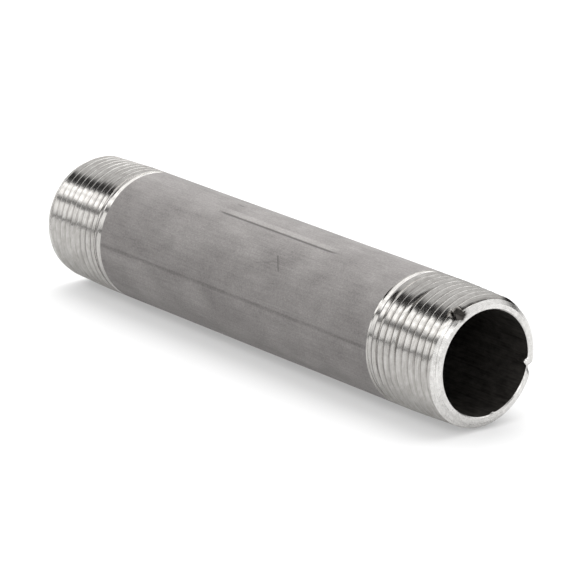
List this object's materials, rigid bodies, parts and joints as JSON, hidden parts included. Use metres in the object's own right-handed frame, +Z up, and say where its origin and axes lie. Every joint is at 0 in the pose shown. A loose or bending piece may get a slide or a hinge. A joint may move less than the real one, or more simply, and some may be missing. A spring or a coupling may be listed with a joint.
{
  "type": "threaded pipe nipple",
  "caption": "Straight length of stainless steel pipe with a right-hand taper pipe thread on the outside of each end, for joining two female-threaded fittings.",
  "frame": {"origin": "on the pipe's axis, halfway between the two end faces", "axes": "+X along the pipe's axis out of one end, +Z up with the pipe lying on its side"},
  "size_m": [0.127, 0.0266, 0.0266],
  "materials": {
    "stainless_steel": "matt pickled barrel, bright machined threads and end faces"
  },
  "bodies": {
    "root": {"threaded_pipe": "stainless_steel"}
  },
  "joints": []
}
